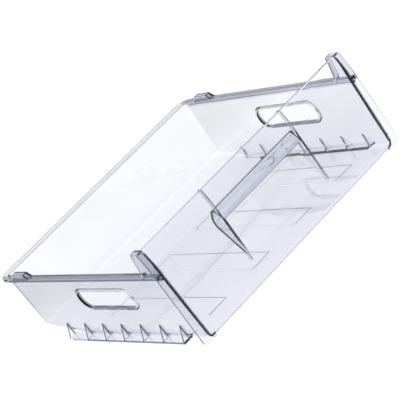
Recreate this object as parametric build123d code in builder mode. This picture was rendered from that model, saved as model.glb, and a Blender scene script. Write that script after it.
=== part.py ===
from build123d import *
from math import cos, radians, sin, tan
import os

# Clear moulded freezer drawer, in millimetres. +X is to the right, +Y to the back and +Z up.
# The origin is under the middle of the drawer, on the plane of the runners.

# Overall sizes
front_width = 430.0
depth = 435.6
front_height = 155.0
rim_height = 115.4
wall = 3.0

# Tub: outside width at the floor, drafts in degrees, and the floor's ramp up to the back wall
floor_width = 404.0
side_draft = 2.0
back_draft = 2.4
corner_radius = 10.0
ramp_length = 107.0
ramp_rise = 17.0

# Front panel: its lean, its rounded foot between the side walls, its rounded top edge, and its
# rolled-back top, whose arc sweeps on past the top edge
front_lean = 0.9
front_foot_radius = 8.0
front_edge_radius = 2.0
roll_height = 36.0
roll_radius = 130.0
roll_sweep = 30.0
front_corner = 5.0
wall_chamfer = 1.8

# Rim flange around the sides and back, and the guide ribs below it on the side walls
rim_width = 426.0
back_flange = 11.5
skirt_height = 5.0
rim_corner = 20.0
guide_drop = 6.3
guide_thickness = 2.3
guide_reach = 3.5

# Ears that carry the side walls up to the top of the front
ear_foot = 37.0
ear_top = 28.0
ear_foot_radius = 8.0
ear_top_radius = 4.0

# Raised stops on the side rims
stop_start = 346.0
stop_length = 50.0
stop_height = 7.0
stop_slope = 9.0

# Runner ledges along the foot of the side walls, with gussets
runner_width = 426.4
runner_start = 51.5
runner_end = 354.0
runner_corner = 10.0
gusset_count = 7
gusset_first = 52.5
gusset_pitch = 49.7
gusset_height = 25.0
gusset_thickness = 2.5

# Finger pull in the middle of the front: depths are from the front, heights from the floor plane
pull_width = 170.0
lip_height = 104.5
lip_thickness = 4.4
pull_nose_depth = 16.5
pull_nose_height = 119.5
pull_nose_radius = 3.0
pull_back_depth = 31.5
pull_back_height = 99.5
pull_back_radius = 16.0
pull_foot = 41.5
pull_rib_thickness = 2.2
pull_rib_depth = 4.5
pull_rib_foot = 36.0

# Raised pads along the floor
pad_count = 4
pad_width = 41.0
pad_pitch = 94.0
pad_start = 52.0
pad_end = 303.0
pad_rise = 1.0
pad_taper = 58.0
pad_corner = 6.0

# Hand slots in the side walls, each with a raised bead
slot_from_front = 187.0
slot_centre_height = 71.0
slot_length = 142.0
slot_height = 31.0
slot_bead_width = 4.0
slot_bead_rise = 1.5
slot_bead_taper = 65.0

# Places worked out from the sizes above
front_y = -depth / 2
rear_y = depth / 2
above = front_height + corner_radius
roll_z = front_height - roll_height
front_slope = tan(radians(front_lean))
roll_y = front_y + roll_z * front_slope
back_rim_y = rear_y - back_flange
back_lean = tan(radians(back_draft))
side_lean = tan(radians(side_draft))
stop_y = front_y + stop_start


def back_y(height):
    """Outer face of the back wall at a height."""
    return back_rim_y - (rim_height - height) * back_lean


def side_x(height):
    """Outer face of a side wall at a height."""
    return floor_width / 2 + height * side_lean


def draw_front():
    """Front surface, from its foot up over the rolled-back top."""
    face = Line((front_y, 0), (roll_y, roll_z))
    roll = JernArc(face @ 1, face % 1, roll_radius, -roll_sweep)
    return face, roll


def draw_section(low, high, inset):
    """Section across the tub between two heights, each side moved in by the inset."""
    Polygon(
        (-side_x(low) + inset, low),
        (side_x(low) - inset, low),
        (side_x(high) - inset, high),
        (-side_x(high) + inset, high),
        align=None,
    )


def basin(inset):
    """Block with the form of the tub, each face moved in by the inset, taller than the front."""
    with BuildPart() as block:
        with BuildSketch(Plane.YZ):
            with BuildLine():
                face, roll = draw_front()
                Polyline(
                    roll @ 1,
                    (back_y(above), (roll @ 1).Y),
                    (back_y(ramp_rise), ramp_rise),
                    (ramp_y, 0),
                    face @ 0,
                )
            make_face()
            if inset:
                offset(amount=-inset, kind=Kind.INTERSECTION)
        extrude(amount=front_width, both=True)
        with BuildSketch(Plane.XZ):
            draw_section(inset, above, inset)
        extrude(amount=depth, both=True, mode=Mode.INTERSECT)
        back = block.faces().sort_by(Axis.Y)[-1]
        left = block.faces().sort_by(Axis.X)[0]
        right = block.faces().sort_by(Axis.X)[-1]
        rounded = back.edges().sort_by(Axis.Z)[:-1]
        rounded += left.edges().sort_by(Axis.Z)[:2]
        rounded += right.edges().sort_by(Axis.Z)[:2]
        fillet(rounded, corner_radius - inset)
        with BuildSketch(Plane.YZ):
            add(round_foot.sketch_local)
            if inset:
                offset(amount=-inset, kind=Kind.INTERSECTION)
        extrude(amount=front_width, both=True, mode=Mode.INTERSECT)
    return block.part


ramp_y = back_y(ramp_rise) - ramp_length

# Everything behind the front surface and above its rounded foot, seen from the side
with BuildSketch(Plane.YZ) as round_foot:
    with BuildLine():
        face, roll = draw_front()
        Polyline(
            roll @ 1,
            (rear_y + depth, (roll @ 1).Y),
            (rear_y + depth, 0),
            face @ 0,
        )
    make_face()
    fillet(round_foot.vertices().group_by(Axis.Y)[0].sort_by(Axis.X)[0], front_foot_radius)

tub_block = basin(0)
tub_space = basin(wall)

# Everything under the line of the rim, its stops and the ears, seen from the side
with BuildSketch(Plane.YZ) as under_rim:
    with BuildLine():
        Polyline(
            (front_y - depth, -depth),
            (rear_y + depth, -depth),
            (rear_y + depth, rim_height),
            (stop_y + stop_length, rim_height),
            (stop_y + stop_length - stop_slope, rim_height + stop_height),
            (stop_y + stop_slope, rim_height + stop_height),
            (stop_y, rim_height),
            (front_y + ear_foot, rim_height),
            (front_y + ear_top, front_height),
            (front_y - depth, front_height),
            close=True,
        )
    make_face()
    ear_corners = under_rim.vertices().filter_by_position(Axis.X, front_y, front_y + 2 * ear_foot)
    fillet(ear_corners.sort_by(Axis.Y)[0], ear_foot_radius)
    fillet(under_rim.vertices().group_by(Axis.Y)[-1].sort_by(Axis.X)[-1], ear_top_radius)

# Everything behind the front surface, seen from the side
with BuildSketch(Plane.YZ) as behind_front:
    with BuildLine():
        face, roll = draw_front()
        Polyline(
            roll @ 1,
            (rear_y + depth, (roll @ 1).Y),
            (rear_y + depth, -depth),
            (front_y, -depth),
            face @ 0,
        )
    make_face()

# Everything behind the front surface and its rounded top edge, seen from the side
with BuildSketch(Plane.YZ) as envelope:
    add(behind_front.sketch_local)
    with Locations((0, front_height - depth)):
        Rectangle(4 * depth, 2 * depth, mode=Mode.INTERSECT)
    fillet(envelope.vertices().group_by(Axis.Y)[-1].sort_by(Axis.X)[0], front_edge_radius)

# Space of the finger pull, from in front of the panel up behind its lip
with BuildSketch(Plane.YZ) as pull_side:
    with BuildLine():
        Polyline(
            (front_y - depth, lip_height),
            (front_y + lip_thickness, lip_height),
            (front_y + pull_nose_depth, pull_nose_height),
            (front_y + pull_back_depth, pull_back_height),
            (front_y, pull_foot),
            (front_y - depth, pull_foot),
            close=True,
        )
    make_face()
    fillet(pull_side.vertices().sort_by(Axis.Y)[-1], pull_nose_radius)
    fillet(pull_side.vertices().sort_by(Axis.X)[-1], pull_back_radius)


def front_sheet(thickness, left, right, foot):
    """Sheet behind the front surface, from one place across the front to another, above its foot."""
    with BuildPart() as sheet:
        with BuildSketch(Plane.YZ.offset(left)):
            add(behind_front.sketch_local)
            offset(behind_front.sketch_local, amount=-thickness, kind=Kind.INTERSECTION, mode=Mode.SUBTRACT)
        extrude(amount=right - left)
        with BuildSketch(Plane.XZ) as outline:
            with Locations((0, (front_height + foot) / 2)):
                Rectangle(front_width, front_height - foot)
            fillet(outline.vertices().group_by(Axis.Y)[0], front_corner)
        extrude(amount=depth / 2, both=True, mode=Mode.INTERSECT)
    return sheet.part


# The tub has its own front, so the panel is left only from its corners out
with BuildPart() as front_ends:
    add(front_sheet(wall, -front_width / 2, front_width / 2, 0))
    with BuildSketch(Plane.XZ):
        draw_section(-corner_radius, above, corner_radius)
    extrude(amount=depth, both=True, mode=Mode.SUBTRACT)

right_rib = front_sheet(
    wall + pull_rib_depth,
    pull_width / 2 - pull_rib_thickness,
    pull_width / 2,
    pull_rib_foot,
)

# Rim flange: a sheet that follows the rim line out to the width of the front, with a skirt below
with BuildPart() as rim_flange:
    with BuildSketch(Plane.YZ):
        add(under_rim.sketch_local)
        offset(under_rim.sketch_local, amount=-wall, kind=Kind.INTERSECTION, mode=Mode.SUBTRACT)
    extrude(amount=front_width, both=True)
    with BuildSketch(Plane.XY.offset(rim_height - skirt_height)) as plan:
        Rectangle(rim_width, depth)
        fillet(plan.vertices().group_by(Axis.Y)[-1], rim_corner)
    extrude(amount=front_height, mode=Mode.INTERSECT)
    with BuildSketch(Plane.XY.offset(rim_height - skirt_height)):
        add(plan.sketch_local)
        offset(plan.sketch_local, amount=-wall, mode=Mode.SUBTRACT)
    extrude(amount=skirt_height)
    # The flange runs on to the front panel below each ear
    with BuildSketch(Plane.XY.offset(rim_height - wall)):
        with Locations((0, front_y + ear_foot / 2)):
            Rectangle(rim_width, ear_foot)
    extrude(amount=wall)
    # Outer skin of the stops
    with BuildSketch(Plane.YZ.offset(rim_width / 2 - wall)):
        add(under_rim.sketch_local)
        with Locations((stop_y + stop_length / 2, rim_height)):
            Rectangle(stop_length, 2 * stop_height, mode=Mode.INTERSECT)
        with Locations((stop_y + stop_length / 2, rim_height - stop_height)):
            Rectangle(stop_length, 2 * stop_height - 2 * wall, mode=Mode.SUBTRACT)
    extrude(amount=wall)
    mirror(about=Plane.YZ)
    extrude(behind_front.sketch, amount=front_width, both=True, mode=Mode.INTERSECT)

# Guide ribs outside the side walls, drawn right across
with BuildPart() as guides:
    with BuildSketch(Plane.XY.offset(rim_height - guide_drop - guide_thickness)):
        with Locations((0, -corner_radius)):
            Rectangle(2 * side_x(rim_height) + 2 * guide_reach, 2 * back_rim_y)
    extrude(amount=guide_thickness)
    extrude(behind_front.sketch, amount=front_width, both=True, mode=Mode.INTERSECT)

# Chamfers both sides of each side wall where it meets the front, above the rounded corner
with BuildPart() as chamfers:
    with BuildSketch(Plane.XY.offset(corner_radius)):
        outside = side_x(corner_radius)
        inside = outside - wall
        sheet = front_y + corner_radius * front_slope + wall
        Polygon(
            (inside - wall_chamfer, sheet - wall / 2),
            (outside + wall_chamfer, sheet - wall / 2),
            (outside + wall_chamfer, sheet),
            (outside, sheet + wall_chamfer),
            (inside, sheet + wall_chamfer),
            (inside - wall_chamfer, sheet),
            align=None,
        )
    extrude(amount=above, dir=(side_lean, front_slope, 1))
    mirror(about=Plane.YZ)
    extrude(behind_front.sketch, amount=front_width, both=True, mode=Mode.INTERSECT)
    extrude(under_rim.sketch, amount=front_width, both=True, mode=Mode.INTERSECT)

# Shell of the finger pull, behind the front surface
with BuildPart() as pull_shell:
    with BuildSketch(Plane.YZ):
        add(pull_side.sketch_local)
        offset(amount=wall)
    extrude(amount=pull_width / 2, both=True)
    extrude(behind_front.sketch, amount=front_width, both=True, mode=Mode.INTERSECT)

# Runner ledges and their gussets, drawn right across
with BuildPart() as runners:
    with BuildSketch(Plane.XY) as ledges:
        with Locations((0, front_y + (runner_start + runner_end) / 2)):
            Rectangle(runner_width, runner_end - runner_start)
        fillet(ledges.vertices().group_by(Axis.Y)[-1], runner_corner)
    extrude(amount=wall)
    for index in range(gusset_count):
        station = front_y + gusset_first + index * gusset_pitch
        with BuildSketch(Plane.XZ.offset(-station)):
            with BuildLine():
                Polyline(
                    (-runner_width / 2, wall),
                    (runner_width / 2, wall),
                    (side_x(gusset_height), gusset_height),
                    (-side_x(gusset_height), gusset_height),
                    close=True,
                )
            make_face()
        extrude(amount=gusset_thickness / 2, both=True)
    # Nothing is left between the ledges below the ramp
    with BuildSketch(Plane.XZ.offset(-ramp_y)):
        draw_section(0, above, wall)
    extrude(amount=-depth, mode=Mode.SUBTRACT)

with BuildPart() as drawer:
    # Tub, cut down to the line of the rim and ears, with its front and flange
    add(tub_block)
    extrude(under_rim.sketch, amount=front_width, both=True, mode=Mode.INTERSECT)
    add(front_ends.part)
    add(rim_flange.part)

    add(runners.part)
    add(guides.part)
    add(tub_space, mode=Mode.SUBTRACT)
    add(chamfers.part)

    # Raised pads along the floor, hollow below
    for height, width, length, mode in (
        (wall, pad_width, pad_end - pad_start, Mode.ADD),
        (0, pad_width - wall, pad_end - pad_start - wall, Mode.SUBTRACT),
    ):
        with BuildSketch(Plane.XY.offset(height)):
            with Locations((0, front_y + (pad_start + pad_end) / 2)):
                with GridLocations(pad_pitch, 0, pad_count, 1):
                    RectangleRounded(width, length, pad_corner)
        extrude(amount=pad_rise, taper=pad_taper, mode=mode)

    # Finger pull, with a rib from its foot up to the top edge at each end
    add(pull_shell.part)
    add(right_rib)
    add(right_rib.mirror(Plane.YZ))
    extrude(pull_side.sketch, amount=pull_width / 2 - wall, both=True, mode=Mode.SUBTRACT)

    # Round the top edge of the front
    extrude(envelope.sketch, amount=front_width, both=True, mode=Mode.INTERSECT)

    # Hand slots, with a bead on both faces of the wall
    for side in (-1, 1):
        outward = Vector(side * cos(radians(side_draft)), 0, -sin(radians(side_draft)))
        middle = Vector(side * side_x(slot_centre_height), front_y + slot_from_front, slot_centre_height)
        inner_face = middle - outward * wall * cos(radians(side_draft))
        for origin, direction in ((middle, outward), (inner_face, -outward)):
            with BuildSketch(Plane(origin, x_dir=(0, 1, 0), z_dir=direction)):
                SlotOverall(slot_length + 2 * slot_bead_width, slot_height + 2 * slot_bead_width)
            extrude(amount=slot_bead_rise, taper=slot_bead_taper)
        with BuildSketch(Plane(middle, x_dir=(0, 1, 0), z_dir=outward)):
            SlotOverall(slot_length, slot_height)
        extrude(amount=slot_height, both=True, mode=Mode.SUBTRACT)

drawer.part.label = "drawer"
os.makedirs("parts", exist_ok=True)
export_step(drawer.part, "parts/drawer.step")
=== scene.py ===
import bpy
from math import radians
from mathutils import Euler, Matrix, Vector


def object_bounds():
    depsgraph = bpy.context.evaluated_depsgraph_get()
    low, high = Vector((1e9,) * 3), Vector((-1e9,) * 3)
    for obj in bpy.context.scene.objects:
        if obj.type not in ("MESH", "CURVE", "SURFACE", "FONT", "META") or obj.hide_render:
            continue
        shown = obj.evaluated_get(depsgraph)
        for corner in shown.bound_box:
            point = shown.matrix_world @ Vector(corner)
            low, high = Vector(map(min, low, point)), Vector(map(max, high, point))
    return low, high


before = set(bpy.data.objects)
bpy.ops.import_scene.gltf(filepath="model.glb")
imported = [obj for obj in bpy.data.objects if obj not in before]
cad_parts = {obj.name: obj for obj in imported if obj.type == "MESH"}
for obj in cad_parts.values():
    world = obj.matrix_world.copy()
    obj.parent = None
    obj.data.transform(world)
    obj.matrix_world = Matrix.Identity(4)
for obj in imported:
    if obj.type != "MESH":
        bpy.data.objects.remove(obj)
cad_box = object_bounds()
scene = bpy.context.scene
scene.view_settings.view_transform = "Standard"

OPEN = 2.0  # a limit past everything, for a mask that is open on one side
SOFT_END = 0.0005  # half the soft border of a mask
WALL_SLOPE = 0.0349  # how far a side wall leans out for each metre of height
FRONT = -0.195  # everything in front of this Y belongs to the front


def node(tree, kind, **sockets):
    """A new node of a tree, with the values of its input sockets."""
    made = tree.nodes.new(kind)
    for name, value in sockets.items():
        made.inputs[name.replace("_", " ")].default_value = value
    return made


def combine(tree, operation, first, second):
    """Socket with two values combined; the second may be a number."""
    made = node(tree, "ShaderNodeMath")
    made.operation = operation
    tree.links.new(first, made.inputs[0])
    if isinstance(second, float):
        made.inputs[1].default_value = second
    else:
        tree.links.new(second, made.inputs[1])
    return made.outputs[0]


def absolute(tree, value):
    """Socket with a value without its sign."""
    made = node(tree, "ShaderNodeMath")
    made.operation = "ABSOLUTE"
    tree.links.new(value, made.inputs[0])
    return made.outputs[0]


def span(tree, value, start, end, **to):
    """Socket that goes from 0 to 1, or between two other numbers, while a value goes from start to end."""
    made = node(tree, "ShaderNodeMapRange", From_Min=start, From_Max=end, **to)
    tree.links.new(value, made.inputs["Value"])
    return made.outputs["Result"]


def within(tree, *limits):
    """Socket that is 1 where every value lies between its limits, with a soft border."""
    result = None
    for value, low, high in limits:
        for start, end in ((low - SOFT_END, low + SOFT_END), (high + SOFT_END, high - SOFT_END)):
            part = span(tree, value, start, end)
            result = part if result is None else combine(tree, "MULTIPLY", result, part)
    return result


def blend(tree, amount, first, second):
    """Socket with a colour between two, each given as a colour or as a socket."""
    made = tree.nodes.new("ShaderNodeMix")
    made.data_type = "RGBA"
    tree.links.new(amount, made.inputs["Factor"])
    for slot, colour in ((6, first), (7, second)):
        if isinstance(colour, tuple):
            made.inputs[slot].default_value = (*colour, 1)
        else:
            tree.links.new(colour, made.inputs[slot])
    return made.outputs[2]


def clear_plastic():
    """Clear polystyrene with a faint blue tint, and the slow ripple of a moulded sheet."""
    material = bpy.data.materials.new("clear_plastic")
    material.use_nodes = True
    tree = material.node_tree
    link = tree.links.new
    shader = tree.nodes["Principled BSDF"]
    shader.inputs["IOR"].default_value = 1.57
    shader.inputs["Transmission Weight"].default_value = 1.0
    place = tree.nodes.new("ShaderNodeTexCoord")
    where = tree.nodes.new("ShaderNodeSeparateXYZ")
    link(place.outputs["Object"], where.inputs[0])
    x, y, z = absolute(tree, where.outputs["X"]), where.outputs["Y"], where.outputs["Z"]
    facing = tree.nodes.new("ShaderNodeSeparateXYZ")
    link(place.outputs["Normal"], facing.inputs[0])
    sideways = absolute(tree, facing.outputs["X"])
    lengthways = absolute(tree, facing.outputs["Y"])
    # Handling marks: patches that are a little less polished
    marks = node(tree, "ShaderNodeTexNoise", Scale=22.0, Detail=5.0, Roughness=0.65)
    link(place.outputs["Object"], marks.inputs["Vector"])
    polish = span(tree, marks.outputs["Fac"], 0.45, 0.8, To_Min=0.015, To_Max=0.09)
    link(polish, shader.inputs["Roughness"])
    # Ripple of the moulded sheet
    ripple = node(tree, "ShaderNodeTexNoise", Scale=14.0, Detail=2.0, Roughness=0.4)
    link(place.outputs["Object"], ripple.inputs["Vector"])
    bump = node(tree, "ShaderNodeBump", Strength=0.25, Distance=0.002)
    link(ripple.outputs["Fac"], bump.inputs["Height"])
    # The edges of the floor's pads are soft, so their slopes bend light less
    pads = within(tree, (x, -OPEN, 0.19), (y, -OPEN, 0.092), (z, -OPEN, 0.0052))
    level = tree.nodes.new("ShaderNodeVectorMath")
    level.operation = "MULTIPLY"
    level.inputs[1].default_value = (0.45, 0.45, 1.0)
    link(bump.outputs["Normal"], level.inputs[0])
    even = tree.nodes.new("ShaderNodeVectorMath")
    even.operation = "NORMALIZE"
    link(level.outputs["Vector"], even.inputs[0])
    turn = tree.nodes.new("ShaderNodeMix")
    turn.data_type = "VECTOR"
    link(pads, turn.inputs["Factor"])
    link(bump.outputs["Normal"], turn.inputs[4])
    link(even.outputs["Vector"], turn.inputs[5])
    link(turn.outputs[1], shader.inputs["Normal"])
    # Painted shade: side walls are greyer towards their foot and the back, and the other faces a little
    # greyer towards the foot
    foot = span(tree, z, 0.10, 0.02)
    back = span(tree, y, -0.16, 0.10)
    high = blend(tree, back, (0.965, 0.968, 0.976), (0.895, 0.90, 0.91))
    low = blend(tree, back, (0.90, 0.905, 0.92), (0.85, 0.855, 0.87))
    grey = blend(tree, foot, high, low)
    clear = blend(tree, foot, (0.988, 0.99, 0.995), (0.945, 0.95, 0.962))
    colour = blend(tree, span(tree, sideways, 0.90, 0.99), clear, grey)
    # Painted shade: faint grey clouds that darken the sheet behind the front
    clouds = node(tree, "ShaderNodeTexNoise", Scale=9.0, Detail=3.0, Roughness=0.55, Distortion=0.6)
    link(place.outputs["Object"], clouds.inputs["Vector"])
    clouded = span(tree, clouds.outputs["Fac"], 0.42, 0.72)
    clouded = combine(tree, "MULTIPLY", clouded, span(tree, y, -0.19, -0.15))
    colour = blend(tree, clouded, colour, (0.93, 0.935, 0.945))
    # Painted shade: the rim is darkened to slate grey, and the ears and stops above it are given less of
    # it and stay paler
    rim = within(tree, (x, 0.2045, OPEN), (z, 0.1088, OPEN))
    rim_shade = blend(tree, span(tree, z, 0.1160, 0.1175), (0.42, 0.44, 0.52), (0.78, 0.79, 0.83))
    colour = blend(tree, rim, colour, rim_shade)
    # The finger pull
    pull = within(tree, (x, -OPEN, 0.0815), (y, -OPEN, -0.183), (z, 0.095, 0.13))
    colour = blend(tree, pull, colour, (0.965, 0.968, 0.985))
    # Painted shade: dark ribs beside the pull, and darker roots of the gussets
    ribs = within(tree, (x, 0.0826, 0.0852), (y, -OPEN, FRONT), (z, 0.036, OPEN), (lengthways, 0.6, OPEN))
    colour = blend(tree, ribs, colour, (0.48, 0.48, 0.55))
    upright = combine(tree, "SUBTRACT", x, combine(tree, "MULTIPLY", z, WALL_SLOPE))
    roots = within(
        tree, (upright, 0.2016, 0.2040), (y, -0.18, 0.145), (z, 0.004, 0.0275), (lengthways, 0.8, OPEN)
    )
    colour = blend(tree, roots, colour, (0.2, 0.2, 0.26))
    # Painted shade: a dark line down each side wall behind the front, where light that enters the front
    # over a side wall's edge runs on down the wall
    ends = within(
        tree, (upright, 0.1988, 0.2022), (y, -OPEN, FRONT), (z, 0.008, 0.150), (lengthways, 0.8, OPEN)
    )
    colour = blend(tree, ends, colour, (0.10, 0.10, 0.16))
    # Painted shade: the front between the ribs, below the pull, is made a little greyer
    panel = within(tree, (x, -OPEN, 0.083), (y, -OPEN, FRONT), (z, -OPEN, 0.095))
    colour = blend(tree, combine(tree, "MULTIPLY", panel, 0.5), colour, (0.94, 0.945, 0.96))
    # Painted shade: the cut edges of the hand slots are greyer and throw little light back
    cut = within(
        tree, (x, 0.1985, 0.2105), (y, -0.108, 0.046), (z, 0.052, 0.09), (sideways, -OPEN, 0.5)
    )
    link(blend(tree, cut, (1, 1, 1), (0.1, 0.1, 0.16)), shader.inputs["Specular Tint"])
    colour = blend(tree, cut, colour, (0.6, 0.6, 0.66))
    # Painted shade: the colour turns near black in rays that the sheet has mirrored, as light caught
    # inside the sheet is mostly lost, so edges and ribs are dark lines, though less so at the pull, the
    # runner ledges, the gussets and the front's top edge
    path = tree.nodes.new("ShaderNodeLightPath")
    soft = pull
    for part in (
        within(tree, (x, 0.197, OPEN), (z, -OPEN, 0.012)),
        within(tree, (x, 0.2066, OPEN), (z, -OPEN, 0.031)),
        within(tree, (x, -OPEN, 0.19), (y, -OPEN, -0.19), (z, 0.151, OPEN)),
    ):
        soft = combine(tree, "MAXIMUM", soft, part)
    mirrored = span(tree, path.outputs["Glossy Depth"], 1.0, 3.0)
    mirrored = combine(tree, "MULTIPLY", mirrored, span(tree, soft, 0.0, 1.0, To_Min=1.0, To_Max=0.1))
    link(blend(tree, mirrored, colour, (0.03, 0.03, 0.07)), shader.inputs["Base Color"])
    # Lamps shine through the sheet, so that it throws a faint shadow
    lit = combine(tree, "MAXIMUM", path.outputs["Is Shadow Ray"], path.outputs["Is Diffuse Ray"])
    shade = node(tree, "ShaderNodeBsdfTransparent", Color=(0.95, 0.955, 0.97, 1))
    surface = tree.nodes.new("ShaderNodeMixShader")
    link(lit, surface.inputs["Fac"])
    link(shader.outputs[0], surface.inputs[1])
    link(shade.outputs[0], surface.inputs[2])
    link(surface.outputs[0], tree.nodes["Material Output"].inputs["Surface"])
    tint = node(tree, "ShaderNodeVolumeAbsorption", Color=(0.30, 0.38, 0.68, 1), Density=24.0)
    link(tint.outputs["Volume"], tree.nodes["Material Output"].inputs["Volume"])
    return material


def white_floor():
    """Light table: white to the camera and through the plastic, and dark in mirrored rays further out."""
    material = bpy.data.materials.new("floor")
    material.use_nodes = True
    tree = material.node_tree
    link = tree.links.new
    tree.nodes.remove(tree.nodes["Principled BSDF"])
    path = tree.nodes.new("ShaderNodeLightPath").outputs
    seen = combine(tree, "MAXIMUM", path["Is Camera Ray"], path["Is Glossy Ray"])
    seen = combine(tree, "MAXIMUM", seen, path["Is Transmission Ray"])
    # Away from the drawer, rays that a face of the plastic has mirrored find no glow
    place = tree.nodes.new("ShaderNodeTexCoord")
    apart = tree.nodes.new("ShaderNodeVectorMath")
    apart.operation = "ABSOLUTE"
    link(place.outputs["Object"], apart.inputs[0])
    where = tree.nodes.new("ShaderNodeSeparateXYZ")
    link(apart.outputs["Vector"], where.inputs[0])
    away = combine(tree, "MAXIMUM", span(tree, where.outputs["X"], 0.225, 0.31),
                   span(tree, where.outputs["Y"], 0.24, 0.36))
    away = combine(tree, "MULTIPLY", away, 0.92)
    mirrored = combine(tree, "MINIMUM", path["Glossy Depth"], 1.0)
    dim = combine(tree, "MULTIPLY", mirrored, away)
    level = span(tree, dim, 0.0, 1.0, To_Min=0.68, To_Max=0.0)
    glow = node(tree, "ShaderNodeEmission", Color=(1, 1, 1, 1))
    link(combine(tree, "MULTIPLY", seen, level), glow.inputs["Strength"])
    diffuse = node(tree, "ShaderNodeBsdfDiffuse", Color=(0.35, 0.35, 0.35, 1))
    both = tree.nodes.new("ShaderNodeAddShader")
    link(diffuse.outputs[0], both.inputs[0])
    link(glow.outputs[0], both.inputs[1])
    link(both.outputs[0], tree.nodes["Material Output"].inputs["Surface"])
    return material


def studio():
    """Soft studio: grey-blue at the horizon, rising to a white ceiling."""
    world = bpy.data.worlds.new("studio")
    scene.world = world
    world.use_nodes = True
    tree = world.node_tree
    link = tree.links.new
    place = tree.nodes.new("ShaderNodeTexCoord")
    split = tree.nodes.new("ShaderNodeSeparateXYZ")
    link(place.outputs["Generated"], split.inputs[0])
    ramp = tree.nodes.new("ShaderNodeValToRGB")
    ramp.color_ramp.elements[0].position = 0.02
    ramp.color_ramp.elements[0].color = (0.50, 0.51, 0.61, 1)
    ramp.color_ramp.elements[1].position = 0.40
    ramp.color_ramp.elements[1].color = (1.0, 1.0, 1.0, 1)
    link(split.outputs["Z"], ramp.inputs["Fac"])
    link(ramp.outputs["Color"], tree.nodes["Background"].inputs["Color"])


def soft_box(name, place, aim, size, power):
    """Square area lamp that looks at a point."""
    lamp = bpy.data.lights.new(name, "AREA")
    lamp.size = size
    lamp.energy = power
    box = bpy.data.objects.new(name, lamp)
    box.location = place
    box.rotation_euler = (Vector(aim) - Vector(place)).to_track_quat("-Z", "Y").to_euler()
    scene.collection.objects.link(box)


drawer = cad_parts["drawer"]
plastic = clear_plastic()
for slot in drawer.material_slots:
    slot.material = plastic

floor_mesh = bpy.data.meshes.new("floor")
reach = 15.0
floor_mesh.from_pydata(
    [(-reach, -reach, 0), (reach, -reach, 0), (reach, reach, 0), (-reach, reach, 0)], [], [(0, 1, 2, 3)]
)
floor = bpy.data.objects.new("floor", floor_mesh)
floor.location.z = cad_box[0][2] - 0.0006
floor_mesh.materials.append(white_floor())
scene.collection.objects.link(floor)

studio()
soft_box("key", (-0.6, -0.6, 2.6), (0, 0, 0.06), 1.5, 22)

# Camera at the photograph's place, with the photograph's roll
camera_data = bpy.data.cameras.new("camera")
camera_data.sensor_width = 36.0
camera_data.lens = 183.64
camera = bpy.data.objects.new("camera", camera_data)
camera.location = (-1.28002, -2.42493, 1.01921)
camera.rotation_euler = Euler((radians(66.8832), radians(33.2795), radians(-41.3653)), "XYZ")
scene.collection.objects.link(camera)
scene.camera = camera
